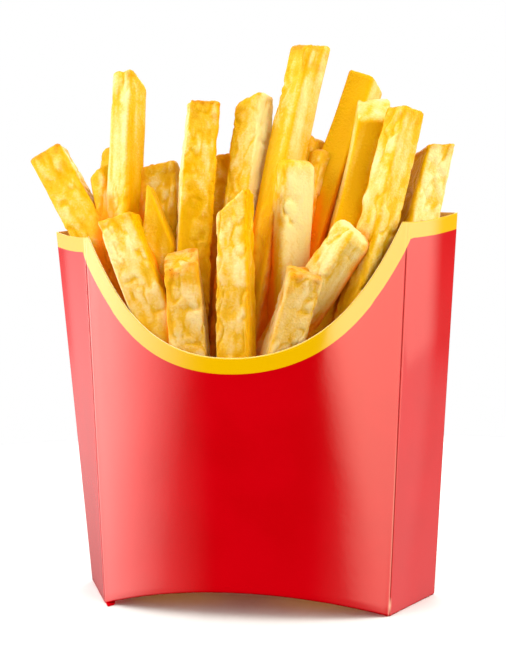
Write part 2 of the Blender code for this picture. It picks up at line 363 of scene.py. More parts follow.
def nearest_crease(points):
    """How far each point lies from the nearest fold on its row, in mm, and which fold that is."""
    folds = points[list(CREASE_COLUMNS)]
    distance = np.linalg.norm(points[None] - folds[:, None], axis=-1)
    return distance.min(axis=0), distance.argmin(axis=0)


def divided(line):
    """The points of a line, and more of them evenly between each two."""
    share = np.linspace(0, 1, LINE_STEPS, endpoint=False)[:, None, None]
    return (line[:-1] + (line[1:] - line[:-1]) * share).reshape(-1, line.shape[-1])


def rim_distance(points, rim):
    """How far each point lies from the rim, in mm, taken in slices so that it fits in memory."""
    dense = divided(np.concatenate([rim, rim[:1]]))
    flat = points.reshape(-1, 3)
    slices = [np.linalg.norm(part[:, None] - dense[None], axis=-1).min(axis=1)
              for part in np.array_split(flat, MEMORY_SLICES)]
    return np.concatenate(slices).reshape(points.shape[:-1])


def mitred(distance, points):
    """Rim distance with the folds laid flat, so that the print's band keeps a sharp corner there.
    Near a fold a point's flat place is its level distance from the fold, signed by its side, and
    its height."""
    for column, (face, side) in zip(CREASE_COLUMNS, ((-1, -1), (-1, 1), (1, 1), (1, -1))):
        offset = np.arange(-MITRE_COLUMNS, MITRE_COLUMNS + 1)
        columns = (column + offset) % len(points)
        near = points[columns]
        fold = panel(face, side, near[..., 2])
        sideways = np.linalg.norm(near - fold, axis=-1) * np.sign(offset)[:, None]
        flat = np.stack([sideways, near[..., 2]], -1)
        dense = divided(flat[:, 0])
        rows = flat[:, :MITRE_ROWS]
        found = np.linalg.norm(rows[:, :, None] - dense, axis=-1).min(axis=-1)
        close = np.abs(rows[..., 0]) < MITRE_REACH
        distance[columns, :MITRE_ROWS] = np.where(close, found, distance[columns, :MITRE_ROWS])
    return distance


arc = np.linspace(0, np.pi / 2, FOLD_ROWS + 1)
down = np.linspace(0, 1, WALL_ROWS + 1)[1:]
span = (TOPS - FEET - FOLD_RADIUS - RIM_ROWS[-1])[:, None]
row_heights = np.concatenate([
    TOPS[:, None] - RIM_ROWS, TOPS[:, None] - RIM_ROWS[-1] - span * down,
    FEET[:, None] + FOLD_RADIUS * (1 - np.sin(arc[1:]))], axis=1)
inset = np.concatenate([np.zeros(len(RIM_ROWS) + WALL_ROWS), FOLD_RADIUS * (1 - np.cos(arc[1:]))])
plain_wall = wall_points(row_heights[:, ::-1])[:, ::-1]
wall_normals = band_normals(plain_wall[:, ::-1])[:, ::-1]
from_crease, crease = nearest_crease(plain_wall)
crease_normals = wall_normals[list(CREASE_COLUMNS)][crease, np.arange(plain_wall.shape[1])]
off_crease = smooth(from_crease, 0.3, 2.5)[..., None]
outward = wall_normals * off_crease + crease_normals * (1 - off_crease)
groove = -GROOVE_DEPTH * np.exp(-(from_crease / GROOVE_WIDTH) ** 2)
groove += SHOULDER_HEIGHT * np.exp(-((from_crease - SHOULDER_PLACE) / GROOVE_WIDTH) ** 2)
calm = smooth(from_crease, 0, 12) * smooth(row_heights - FEET[:, None], 0, 10)
wave = WAVE_HEIGHT * calm * (rough_noise(plain_wall / (26, 26, 34), 2, 3.1) - 0.4)
wall = plain_wall + outward * (groove + wave - inset)[..., None]
wall_rim_distance = mitred(rim_distance(plain_wall, plain_wall[:, 0]), plain_wall)
print("wall:", wall.shape[:2], "points; waviness", np.ptp(wave).round(2), "mm")


# %% [markdown]
# Board has two sides. The inner side follows the outer one at the board's thickness. Near a fold
# the two offset panels would cross, so there the inner points run in a straight line to the mitre,
# the one place that lies a board's thickness from both panels.

# %% Inner side of the wall
def crease_mitre(points, before, after):
    """From a fold to its mitre: minus the sum of both unit normals over one plus their dot."""
    dot = (before * after).sum(axis=-1, keepdims=True)
    return points - BOARD * (before + after) / (1 + dot)


def inner_side(outer):
    """The four panels, each moved in along its own normals, with its ends drawn to the mitres."""
    ends = [*CREASE_COLUMNS, len(outer)]
    looped = np.concatenate([outer, outer[:1]])
    panels = [looped[start:stop + 1] for start, stop in zip(ends, ends[1:])]
    normals = [-unit(np.cross(np.gradient(p, axis=0), np.gradient(p, axis=1))) for p in panels]
    share = (FOLD_SAMPLES / FOLD_SAMPLES[-1])[:, None, None]
    last = len(share) - 1
    found = []
    for i, (points, normal) in enumerate(zip(panels, normals)):
        inner = points - BOARD * normal
        start = crease_mitre(points[0], normals[i - 1][-1], normal[0])
        stop = crease_mitre(points[-1], normal[-1], normals[(i + 1) % 4][0])
        inner[:last + 1] = start + (inner[last] - start) * share
        inner[-last - 1:] = stop + (inner[-last - 1] - stop) * share[::-1]
        found.append(inner[:-1])
    return np.concatenate(found)


inner_wall = inner_side(plain_wall) + wall_normals * wave[..., None]
inner_wall[..., 2] = np.maximum(inner_wall[..., 2], (FEET + BOARD)[:, None])
inner_wall[:, 0, 2] = TOPS
print("board is", np.linalg.norm(inner_wall - plain_wall, axis=-1)[40, 30].round(2), "mm thick")


# %% Base of the carton
def coons_patch(band_row):
    """Fills a closed row: two ruled surfaces between facing edges, less the one through corners."""
    n, m = len(ACROSS), len(ALONG)
    near, far = band_row[:n], band_row[n + m:2 * n + m][::-1]
    right = band_row[n - 1:n + m + 1]
    left = np.concatenate([band_row[:1], band_row[2 * n + m - 1:][::-1]])[:m + 2]
    u = (ACROSS[:, None, None] + 1) / 2
    v = np.concatenate([[0], ALONG, [1]])[None, :, None]
    ruled = near[:, None] * (1 - v) + far[:, None] * v + left[None] * (1 - u) + right[None] * u
    corners = near[:1, None] * (1 - u) * (1 - v) + near[-1:, None] * u * (1 - v)
    corners = corners + far[:1, None] * (1 - u) * v + far[-1:, None] * u * v
    return ruled - corners


base, inner_base = coons_patch(wall[:, -1]), coons_patch(inner_wall[:, -1])
print("base: from", base[..., 2].min().round(2), "to", base[..., 2].max().round(2), "mm high")

# %% [markdown]
# ## The carton's materials
# The blank is clay-coated paperboard. A thin layer of clay and varnish lies on the printed side, so
# the ink sits under a gloss that mirrors the lamps softly, with a faint ripple from the fibres
# below. The print is a deep red field with a yellow band along the rim. The other side is bare
# board, matt, fibrous and itself pale; its warm orange-brown here is painted light, bounced from
# the fries. Where the blank is cut, its pale core shows as a fine line.

# %% Clay-coated paperboard, printed
BAND_WIDTH = 4.6
BAND_BLUR = 0.05


def printed_board():
    """Glossy offset print: red, and yellow within a band's width of the rim. In the red the scores are
    darker, which is painted shade of their grooves.
    """
    material, tree, shader = new_material("clay-coated paperboard, printed")
    from_rim, from_crease, wear_and_fold_highlight, varnish = (
        add_node(tree, "Attribute", attribute_name=name).outputs["Fac"]
        for name in ("from_rim", "from_crease", "wear_and_fold_highlight", "varnish"))
    place = add_node(tree, "TexCoord").outputs["Object"]
    band = add_node(tree, "MapRange", {
        0: from_rim, 1: BAND_WIDTH - BAND_BLUR, 2: BAND_WIDTH + BAND_BLUR, 3: 1.0, 4: 0.0})
    density = add_node(tree, "TexNoise", {"Vector": place, "Scale": 55.0, "Detail": 3.0})
    patchy = add_node(tree, "MapRange", {0: density, 1: 0.35, 2: 0.65}, **SMOOTH_RAMP)
    red = add_node(tree, "Mix", {0: patchy, 6: linear("#C20009"), 7: linear("#C8000C")}, **COLOURS)
    inked = add_node(tree, "Mix", {0: band, 6: red, 7: linear("#E0AC00")}, **COLOURS)
    in_red = add_node(tree, "Math", {0: 1.0, 1: band}, operation="SUBTRACT")
    # Painted shade: a dark line in the red along each fold, where the score's groove lies in shade.
    near_fold = {0: from_crease, 1: 0.05, 2: 0.35, 3: 0.55, 4: 0.0}
    score = add_node(tree, "MapRange", near_fold, **SMOOTH_RAMP)
    painted_score_shade = add_node(tree, "Math", {0: score, 1: in_red}, operation="MULTIPLY")
    scored = add_node(tree, "Mix", {0: painted_score_shade, 6: inked, 7: linear("#5A0A08")}, **COLOURS)
    # Pale where the print has rubbed off at the foot, and a painted highlight beside the front right
    # fold.
    rubbed = add_node(tree, "Mix", {0: wear_and_fold_highlight, 6: scored, 7: linear("#F4C2A4")}, **COLOURS)
    red_tint, yellow_tint = (1, 0.47, 0.44, 1), (0.62, 0.62, 0.55, 1)
    tint = add_node(tree, "Mix", {0: band, 6: red_tint, 7: yellow_tint}, **COLOURS)
    fibres = add_node(tree, "TexNoise", {"Vector": place, "Scale": 900.0, "Detail": 2.0})
    peel = add_node(tree, "TexNoise", {"Vector": place, "Scale": 330.0, "Detail": 1.0})
    height = add_node(tree, "Math", {0: fibres, 1: peel}, operation="ADD")
    bump = add_node(tree, "Bump", {"Height": height, "Strength": 0.02, "Distance": 0.0004})
    set_inputs(shader, {"Base Color": rubbed, "Roughness": 0.1, "IOR": 1.64, "Normal": bump,
                        "Specular IOR Level": varnish, "Specular Tint": tint})
    return material


def bare_board(name, colour, fibre_colour):
    """Uncoated board: matt, with fibres about 1.5 mm long that show as faint darker flecks."""
    material, tree, shader = new_material(name)
    place = add_node(tree, "TexCoord").outputs["Object"]
    fibres = add_node(tree, "TexNoise", {"Vector": place, "Scale": 650.0, "Detail": 4.0})
    flecks = add_node(tree, "MapRange", {0: fibres, 1: 0.45, 2: 0.7}, **SMOOTH_RAMP)
    colours = {0: flecks, 6: linear(colour), 7: linear(fibre_colour)}
    shade = add_node(tree, "Mix", colours, **COLOURS)
    bump = add_node(tree, "Bump", {"Height": fibres, "Strength": 0.25, "Distance": 0.0003})
    set_inputs(shader, {"Base Color": shade, "Roughness": 0.85, "Normal": bump})
    return material


PRINTED = printed_board()
# The bare side's warm orange-brown is painted bounce light from the fries, on board that is itself
# pale.
INSIDE_PAINTED_BOUNCE = bare_board("uncoated paperboard, painted with bounce light", "#DFA04A", "#C98838")
CUT_EDGE = bare_board("cut edge of the board", "#F7E9B4", "#E5CF86")

# %% [markdown]
# Outer wall, rim, inner wall, and the base's two sides become one closed mesh. The bare side and
# the cut edge at the rim have materials of their own.

# %% Carton piece
# At each of five heights: where along a side its duller part begins, from 0 at the front to 1 at
# the back, and how much duller it is, on the right side (1) and on the left one (-1).
DULL_LEVELS = (12, 37, 60, 78, 127)
DULL_EDGE = (0.35, 0.5, 0.58, 0.6, 0.55)
DULL_DEPTH = {1: (0.33, 0.45, 0.5, 0.88, 0.98), -1: (0, 0.1, 0.4, 0.85, 0.93)}
DULL_BLUR = 0.17
# A distance in mm at which rim and folds no longer matter.
FAR = 50.0


def side_varnish(heights, in_red):
    """Share of gloss on the wall. The rear part of both side panels is drawn duller, which gives
    them two tones, on the left one in the red alone."""
    edge = np.interp(heights, DULL_LEVELS, DULL_EDGE)
    share = np.ones(heights.shape)
    n, m = len(ACROSS), len(ALONG)
    for sign, columns, along, ahead, red_only in (
            (1, slice(n, n + m), ALONG, 0, False),
            (-1, slice(2 * n + m, None), ALONG[::-1], 0.1, True)):
        rear = smooth(along[:, None] - edge[columns] - ahead, -DULL_BLUR, DULL_BLUR)
        depth = np.interp(heights[columns], DULL_LEVELS, DULL_DEPTH[sign])
        share[columns] -= rear * depth * (in_red[columns] if red_only else 1)
    return share


def rub_and_fold_highlight(points):
    """A chip of 1 mm at the front right foot where the print has rubbed off, and above it a thin pale
    line beside the front right fold, which is a painted highlight.
    """
    corner = panel(-1, 1, 2.5)
    chip = 1 - smooth(np.linalg.norm(points - corner, axis=-1), 0.2, 0.9)
    line = (1 - smooth(from_crease, 0.3, 0.6)) * smooth(from_crease, 0.1, 0.3) * (crease == 1)
    line[len(ACROSS):] = 0
    return np.clip(chip + 0.45 * line * (1 - smooth(points[..., 2], 30, 62)), 0, 1)


def rim_strip():
    """The cut edge between the two sides, as three rows, the middle one a little proud."""
    outer, inner = wall[:, 0], inner_wall[:, 0]
    return np.stack([outer, (outer + inner) / 2 + (0, 0, 0.03), inner])


carton_grids = [
    (wall.transpose(1, 0, 2), True, True, 0), (rim_strip(), True, False, 2),
    (inner_wall.transpose(1, 0, 2), True, False, 1), (base, False, False, 0),
    (inner_base, False, True, 1)]
carton_faces, face_kinds, start = [], [], 0
for grid, closed, flipped, kind in carton_grids:
    faces = grid_faces(*grid.shape[:2], closed=closed) + start
    carton_faces.append(faces[:, ::-1] if flipped else faces)
    face_kinds.append(np.full(len(faces), kind))
    start += grid[..., 0].size
in_red = smooth(wall_rim_distance, BAND_WIDTH - 0.2, BAND_WIDTH + 0.3)
score_reach = np.where(crease == 1, 0.38, 0.5)
scored = 0.92 * (1 - smooth(from_crease / score_reach, 0.3, 1)) * in_red
varnish = side_varnish(plain_wall[..., 2], in_red) * (1 - scored)
carton_skin = {
    name: np.concatenate([of_wall.T.ravel(), np.full(3 * len(TOPS), of_rim), of_wall.T.ravel(),
                          np.full(2 * base[..., 0].size, of_base)])
    for name, of_wall, of_rim, of_base in (
        ("from_rim", wall_rim_distance, 0, FAR), ("from_crease", from_crease, 9, FAR),
        ("varnish", varnish, 1, 1), ("wear_and_fold_highlight", rub_and_fold_highlight(plain_wall), 0, 0))}
carton = make_piece(
    "carton_board", np.concatenate([grid.reshape(-1, 3) for grid, *_ in carton_grids]),
    np.concatenate(carton_faces), [PRINTED, INSIDE_PAINTED_BOUNCE, CUT_EDGE], carton_skin,
    np.concatenate(face_kinds))
merge_doubles(carton)
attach(carton, "root")
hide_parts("carton")
print("carton faces:", len(carton.data.polygons))

# %% [markdown]
# Two side flaps are folded in first when a carton is put up, and the base locks over them. They lie
# flat on the table and carry the whole portion. Each is a thin sheet with tapered ends. The left
# flap has crept forward, so its front end shows below the corner as a small rolled fold.

# %% Side flaps
FLAP_DEPTH = 8
FLAP_TAPER = 4
FLAP_LIFT = 0.04
FLAP_CREEP = 3.4


def flap_sheet(sign, creep):
    """A flap as a closed grid: a rounded slab's outline, carried from its front end to its back."""
    front_corner, back_corner = corners(sign, 0.0)
    along = (back_corner - front_corner) / np.linalg.norm(back_corner - front_corner)
    inward = np.array([-sign * along[1], sign * along[0], 0])
    turn = np.linspace(0, 2 * np.pi, 24, endpoint=False)
    part = np.concatenate([[0, 0], np.linspace(0, 1, 30), [1, 1]])[:, None]
    closing = np.ones_like(part)
    closing[[0, -1]] = 0
    closing[[1, -2]] = 0.7
    length = np.linalg.norm(back_corner - front_corner)
    across = 0.5 + 0.5 * np.cos(turn) * closing
    thick = BOARD / 2 * np.sign(np.sin(turn)) * np.abs(np.sin(turn)) ** 0.35 * closing
    reach = -creep * (1 - part) + part * length
    taper = FLAP_TAPER * across * (1 - 2 * part)
    curl = creep / 3 * smooth(-reach, -1.5, creep) * smooth(across, 0.2, 0.9)
    points = front_corner + along * (reach + taper)[..., None]
    points = points + inward * (FOLD_RADIUS / 2 + FLAP_DEPTH * across - creep * curl)[..., None]
    points[..., 2] += FLAP_LIFT + BOARD / 2 + thick + curl
    return points


flap_grids = [flap_sheet(-1, FLAP_CREEP), flap_sheet(1, 0)]
flap_faces = [grid_faces(*grid.shape[:2]) + i * grid[..., 0].size
              for i, grid in enumerate(flap_grids)]
flap_points = np.concatenate([grid.reshape(-1, 3) for grid in flap_grids])
flaps = make_piece("side_flaps", flap_points, np.concatenate(flap_faces)[:, ::-1], [PRINTED],
                   {name: np.full(len(flap_points), FAR) for name in ("from_rim", "from_crease")})
merge_doubles(flaps)
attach(flaps, "root")
print("flaps:", len(flap_points), "points")

# %% [markdown]
# ## The fries
# A fry is cut from a potato as a square stick, about 10 mm wide, and fried: its faces sink a
# little, its edges stay firm, its skin blisters and wrinkles along its length, and its ends brown
# first. The heap is a list of such sticks. Every row of the list gives one fry's tip, lean, sizes,
# turn and cut, and then how it was fried.

# %% List of fries, in millimetres and degrees
# x y z: tip; lean right and pitch back; turn about its length; rise: slope of the cut end to the
# right and to the back; bow: how far its middle bends right; edge, end: roundings; skin: share that
# is blistered; pale: from -1, deep gold, to 1, cream; toast: how brown its end is; cut: how pale its
# cut face is; sides: how much paler its right face is drawn than its left one, which is painted
# light and shade.
Fry = namedtuple("Fry", "x y z lean pitch length width thickness turn rise_right rise_back bow "
                        "edge end skin pale toast cut sides",
                 defaults=(0, 0, 0, 1.3, 1.1, 0.5, 0, 0.4, 0, 0))
FRONT_FRIES = [
    Fry(-67.2, 7, 140.5, -31, 6, 92, 12.2, 9.0, 2, -4, 8, 0, 1.4, 1.4, 0.6, 0.0, 0.7),
    Fry(-37.4, 5, 162.6, 2, 1, 104, 9.4, 9.2, 70, -14, -24, -0.8, 2.0, 2.4, 0.35, 0.6, 0.5, 0,
        -0.35),
    Fry(-38, -6, 115.5, -22, 3, 72, 12.2, 9.4, 0, -8, 6, 0, 1.1, 0.9, 0.5, 0.35, 0.25, 0, -0.7),
    Fry(-25.2, -1, 117, 6, 0, 70, 11.4, 8.0, 0, -62, 0, 0, 1.6, 1.8, 0.15, -0.1, 0.1),
    Fry(-12.2, 1, 151.5, 3, 1, 100, 10.6, 9.6, 22, 0, 8, -1.5, 1.4, 1.2, 0.85, 0.1, 0.7, 0, -0.45),
    Fry(-17, -10, 101.5, -5, 0, 76, 11.2, 8.6, 8, 0, 42, 0, 1.2, 0.9, 0.6, 0.45, 0.6, 0.3),
    Fry(3.2, 6, 153, 7, 2, 96, 10.6, 9.6, 70, 24, 0, 0, 1.6, 2.2, 0.8, 0.4, 0.6, 0, 0.5),
    Fry(-0.3, -10, 117.5, 0, 2, 92, 10.0, 9.6, -4, 38, 0, 0, 1.2, 1.2, 0.9, 0.1, 0.3, 0, -0.3),
    Fry(21.1, 6, 168.0, 12, 2, 104, 9.9, 9.2, 56, 6, 18, -1.0, 1.3, 1.3, 0.5, 0.1, 0.8, 0, 0.25),
    Fry(16.4, -2, 131, 5, -6, 92, 11.2, 9.4, 36, 0, 0, 0, 2.4, 3.4, 0.45, 0.55, 0.15, 0, 0.35),
    Fry(49.4, -3, 143.5, 15, 0, 94, 9.2, 9.0, 46, 4, 6, 0, 1.3, 1.3, 0.7, 0.15, 0.5),
    Fry(34.5, -9, 108, 36, -13, 60, 11.2, 10.2, 51, -10, 0, 0, 2.4, 3.0, 0.6, 0.8, 0.1, 1.0),
    Fry(20, -11, 96.5, 18, -3, 66, 10.4, 8.6, 24, 0, 18, 0, 1.3, 1.2, 0.9, 0.7, 0.7),
]
BACK_FRIES = [
    Fry(-44, 9, 141, -2, 8, 82, 8.4, 8.4, 66, 0, 0, 0, 1.6, 2.2, 0.6, -0.2, 0.4),
    Fry(-47, 8, 134, -14, 9, 76, 11.4, 9.0, 10, 28, 0, 0, 1.5, 1.6, 0.7, -0.2, 0.3),
    Fry(-29.8, 10, 134.5, -1, 2, 84, 13.2, 8.6, 6, 10, 0, 0, 1.3, 1.6, 1.0, -0.2, 0.4),
    Fry(-9, 11, 136.5, 0, 2, 86, 9.8, 8.4, 7, 8, 0, 0, 1.3, 1.4, 1.0, -0.4, 0.4),
    Fry(19.5, 12, 141, 10, 6, 82, 8.4, 8.4, 52, 0, 0, 0, 1.6, 2.0, 1.0, -0.2, 0.5),
    Fry(24, 9, 135, 15, 3, 76, 9.2, 9.0, 52, 0, 0, 0, 1.5, 1.8, 1.0, -0.2, 0.5),
    Fry(37.6, 12, 158, 19, 4, 92, 10.8, 9.6, 72, -12, 0, 0, 1.2, 1.2, 0.15, -1.0, 0.15, 0.3, 0.6),
    Fry(40, 4, 146.5, 15, 2, 90, 10.2, 9.0, 18, -6, 48, 1.2, 1.1, 0.9, 0.25, -0.4, 0.05, 0.65,
        -0.3),
    Fry(57.6, 4.5, 133.5, 14, 3, 84, 9.6, 9.2, 27, 20, 0, 0, 1.2, 1.2, 0.4, -0.2, 0.4, 0, 0.6),
]
LOW_FRIES = [
    Fry(-37, 12, 119, -9, 2, 70, 9.6, 8.6, 12, 8, 10, 0, 1.3, 1.4, 0.8, -0.5, 0.4),
    Fry(-19, 12.5, 124, -4, 2, 72, 9.0, 8.8, 70, -10, 0, 0, 1.3, 1.4, 0.8, -0.5, 0.4),
    Fry(2, 12.5, 122, 1, 2, 72, 9.4, 8.4, 20, 12, 0, 0, 1.3, 1.4, 0.8, -0.5, 0.4),
    Fry(13, 13, 127, 6, 2, 74, 8.8, 8.6, 60, 0, 14, 0, 1.3, 1.4, 0.8, -0.4, 0.4),
    Fry(31, 13, 123, 12, 2, 70, 9.4, 8.4, 15, -8, 0, 0, 1.3, 1.4, 0.8, -0.4, 0.4),
    Fry(48, 12, 121, 15, 2, 70, 9.0, 8.8, 35, 0, 0, 0, 1.3, 1.4, 0.8, -0.4, 0.4),
]
print(len(FRONT_FRIES + BACK_FRIES), "fries stand clear of the rim,", len(LOW_FRIES), "behind them")

# %% [markdown]
# The stick's surface is a profile carried along a path. The section is a rounded rectangle: walk
# round a plain rectangle, clamp each point to a smaller one inside it, and step out from there by
# the rounding radius. Rings of it run from the middle of the cut end, over the end's rounding, down
# the stick and round to the middle of the other end, so that the surface closes by itself.

# %% Surface of one fry
RING_STEP = 0.55
HIDDEN_STEP = 2.5
CAP_RINGS = np.array([0.0, 0.12, 0.3, 0.5, 0.7, 0.87])
END_ARC = np.linspace(0, np.pi / 2, 5)
CORNER_PULL = 0.35
SEED_STEP = 31.7
# Sizes in mm, across, across and along a fry, of the patches that each noise makes.
CELLS = {"patch": (8, 8, 17), "warp": (3.2, 3.2, 5), "valley": (3.6, 3.6, 9.0),
         "plateau": (2.6, 2.6, 5.0), "lump": (7, 7, 15), "streak": (1.9, 1.9, 26),
         "mottle": (1.8, 1.8, 3.2), "tone": (8, 8, 22), "spot": (1.7, 1.7, 2.3), "rag": 2.2,
         "grain": 0.7}


def rounded_rectangle(half_width, half_depth, radius, count):
    """Points round a rounded rectangle, for arrays of sizes: a ring of count points for each."""
    side, along = np.divmod(np.arange(count) / count * 4, 1)
    along = along - CORNER_PULL * np.sin(2 * np.pi * along) / (2 * np.pi)
    across = 2 * along - 1
    unit_x = np.choose(side.astype(int), [across, 1 + 0 * across, -across, -1 + 0 * across])
    unit_y = np.choose(side.astype(int), [-1 + 0 * across, across, 1 + 0 * across, -across])
    outer = np.stack([unit_x * half_width[:, None], unit_y * half_depth[:, None]], -1)
    limit = np.stack([half_width - radius, half_depth - radius], -1)[:, None]
    inner = np.clip(outer, -limit, limit)
    return inner + unit(outer - inner) * radius[:, None, None]


def end_profile(end):
    """Scale, inset and drop of the rings that close an end: over the cut, then round its edge."""
    scale = np.concatenate([np.maximum(CAP_RINGS, 1e-3), np.ones(len(END_ARC))])
    inset = np.concatenate([np.full(len(CAP_RINGS), end), end * (1 - np.sin(END_ARC))])
    drop = np.concatenate([np.zeros(len(CAP_RINGS)), end * (1 - np.cos(END_ARC))])
    return scale, inset, drop


def grid_normals(points):
    """Unit normals of a closed grid whose rings run down it: the step round times the step down."""
    around = np.roll(points, -1, axis=1) - np.roll(points, 1, axis=1)
    downward = np.gradient(points, axis=0)
    normal = np.cross(downward, around)
    return normal / np.maximum(np.linalg.norm(normal, axis=-1, keepdims=True), 1e-9)


def fry_axes(fry):
    """The turn that carries a stick from upright to its lean, as a matrix, and its direction."""
    lean, pitch = math.tan(math.radians(fry.lean)), math.tan(math.radians(fry.pitch))
    direction = Vector((lean, pitch, 1)).normalized()
    turn = Vector((0, 0, 1)).rotation_difference(direction).to_matrix()
    return np.array(turn), np.array(direction)


def crust(points, section_share, drop, fry, seed):
    """Relief of the fried skin in mm, and how pale it is, for points in the fry's own millimetres.
    Where one noise is near zero it leaves thin meandering valleys, and a finer one swells the
    plateaus between them. Both show only in blistered patches; smooth ones keep faint streaks."""
    shift = SEED_STEP * seed
    patch = smooth(noise(points / CELLS["patch"], shift) + 1.7 * fry.skin - 0.8, -0.3, 0.4)
    warp = points + 1.6 * noise(points / CELLS["warp"], shift + 5)[..., None] * (1, -1, 0.8)
    valley = 1 - smooth(np.abs(rough_noise(warp / CELLS["valley"], 2, shift + 3)), 0.015, 0.17)
    plateau = rough_noise(warp / CELLS["plateau"], 2, shift + 9)
    lump = noise(points / CELLS["lump"], shift + 11)
    streak = rough_noise(points / CELLS["streak"], 2, shift + 13)
    mottle = rough_noise(points / CELLS["mottle"], 2, shift + 17)
    grain = noise(points / CELLS["grain"], shift + 15)
    height = 0.28 * lump + patch * (0.42 * plateau - 0.36 * valley) + (0.2 - 0.12 * patch) * streak
    height = height + (0.03 + 0.05 * patch) * grain
    ridge = patch * (0.9 * smooth(plateau, -0.45, 0.2) - 1.1 * valley)
    tone = noise(points / CELLS["tone"], shift + 21)
    pale = 0.42 + 0.36 * fry.pale + 0.3 * ridge + 0.16 * tone + (0.4 - 0.24 * patch) * streak
    # fry.sides is painted light and shade: a face turned right is drawn paler or darker than one
    # turned left.
    pale = pale + (0.15 + 0.16 * patch) * mottle + fry.sides * grid_normals(points)[..., 0]
    pale = pale - 0.25 * smooth(section_share, 0.7, 1) - 0.3 * np.exp(-drop / 4)
    pale = pale - 0.35 * smooth(drop + 6 * tone, 18, 55)
    return height, pale


def browning(points, drop, cap_share, fry, seed):
    """Share of browning: most round the cut end's edge, fading over 1 mm, then only in spots."""
    shift = SEED_STEP * seed
    spots = smooth(noise(points / CELLS["spot"], shift + 40), 0.15, 0.7)
    ragged = drop + 1.6 * noise(points / CELLS["rag"], shift + 44)
    tip = np.exp(-np.maximum(ragged, 0) / 1.1) * fry.toast * (0.3 + 0.7 * cap_share**2)
    return np.clip(tip + 0.9 * spots * np.exp(-drop / 7) * fry.toast, 0, 1)


def fry_surface(fry, seed, fine_length, around):
    """Points of one fry in mm about the carton's base, as rings from its tip to its foot, and how
    pale and how browned they are. A ring is a section, sunk between its edges. Relief is last."""
    scale, inset, drop = end_profile(fry.end)
    fine = np.arange(fry.end + RING_STEP, max(fine_length, 4), RING_STEP)
    rest = fry.length - fry.end - fine[-1]
    coarse = fine[-1] + np.linspace(0, 1, max(int(rest / HIDDEN_STEP), 2) + 1)[1:] * rest
    sides = np.concatenate([fine, coarse])
    drop = np.concatenate([drop, sides, fry.length - drop[::-1]])
    scale = np.concatenate([scale, np.ones(len(sides)), scale[::-1]])
    inset = np.concatenate([inset, np.zeros(len(sides)), inset[::-1]])
    share = np.clip(np.minimum(drop, fry.length - drop) / (fry.length / 3), 0, 1)
    swell = 0.95 + 0.05 * share + 0.02 * noise(np.stack([drop / 14, 0 * drop, 0 * drop], -1), seed)
    half_width = (fry.width / 2 * swell - inset) * scale
    half_depth = (fry.thickness / 2 * swell - inset) * scale
    radius = np.maximum(fry.edge - inset, 0.35) * scale
    section = rounded_rectangle(half_width, half_depth, radius, around)
    share_x = np.abs(section[..., 0]) / half_width[:, None]
    share_y = np.abs(section[..., 1]) / half_depth[:, None]
    sunk = 0.3 * (1 - np.minimum(share_x, share_y) ** 2) * (scale * smooth(drop, 0, 6))[:, None]
    section = section * (1 - sunk / (fry.width / 2))[..., None]
    turn = math.radians(fry.turn)
    x = section[..., 0] * math.cos(turn) - section[..., 1] * math.sin(turn)
    y = section[..., 0] * math.sin(turn) + section[..., 1] * math.cos(turn)
    slant = x * math.tan(math.radians(fry.rise_right)) + y * math.tan(math.radians(fry.rise_back))
    slant = slant * np.clip(1 - drop / (fry.length / 3), 0, 1)[:, None]
    z = slant - drop[:, None]
    bowed = x + fry.bow * np.sin(np.pi * np.clip(drop / fry.length, 0, 1))[:, None]
    points = np.stack([bowed, y, z], -1)
    near_edge = np.minimum(share_x, share_y) * (scale == 1)[:, None]
    height, pale = crust(points, near_edge, drop[:, None], fry, seed)
    pale = pale + fry.cut * np.exp(-np.maximum(drop, 0) / 0.8)[:, None]
    toast = browning(points, drop[:, None], scale[:, None], fry, seed)
    points = points + grid_normals(points) * height[..., None]
    for pole in (0, -1):
        points[pole] = points[pole].mean(axis=0)
    rotation, _ = fry_axes(fry)
    return points @ rotation.T + (fry.x, fry.y, fry.z), pale, toast


sample, _, _ = fry_surface(FRONT_FRIES[0], 1, 60, 96)
print("one fry:", sample.shape[:2], "points, from", sample.min(axis=(0, 1)).round(1), "to",
      sample.max(axis=(0, 1)).round(1))

# %% [markdown]
# The board holds the heap together, so no fry may pass through it. Below the rim, any point that
# lies outside the inner face is moved back to it, which flattens a fry where it presses on the
# board.

# %% Keep the fries inside the board
PRESS_GAP = BOARD + 0.12


def wall_room(points):
    """Room to the front, the back and the nearer side wall in mm, negative outside, that side's
    direction, and how far across the front and the back each point lies."""
    x, y, z = np.moveaxis(points, -1, 0)
    front_corner, back_corner = corners(1, z)
    across = [np.clip(x / corner[..., 0], -1, 1) for corner in (front_corner, back_corner)]
    front_y, back_y = (panel(side, part, z)[..., 1] for side, part in zip((-1, 1), across))
    along = unit(back_corner - front_corner)
    past_x, past_y = np.abs(x) - front_corner[..., 0], y - front_corner[..., 1]
    room = y - front_y, back_y - y, along[..., 0] * past_y - along[..., 1] * past_x
    return room, along, across


def press_inside(points):
    """Moves points below the rim in to the board's inner face, straight in from each wall."""
    points = points.copy()
    x, _, z = np.moveaxis(points, -1, 0)
    room, along, (across_front, across_back) = wall_room(points)
    rims = scoop_height(across_front), back_height(across_back), FRONT_HEIGHT
    front_push, back_push, push = (
        np.where(z < rim + 1, np.maximum(PRESS_GAP - left, 0), 0) for rim, left in zip(rims, room))
    points[..., 1] += front_push
    points[..., 1] -= back_push
    points[..., 0] -= np.sign(x) * push * along[..., 1]
    points[..., 1] += push * along[..., 0]
    return points


print("furthest push on the first fry:", np.abs(press_inside(sample) - sample).max().round(2), "mm")

# %% [markdown]
# ## Fried potato
# The material reads what the surface already knows: how pale and how browned each point is. Dry,
# raised skin is cream, the flesh under oil is golden and the ends are toasted. Low in the heap the
# skin is drawn browner, which stands in for the shade there. Light enters potato and comes out a
# millimetre or two away, warmer than before, so the shader has subsurface scattering.

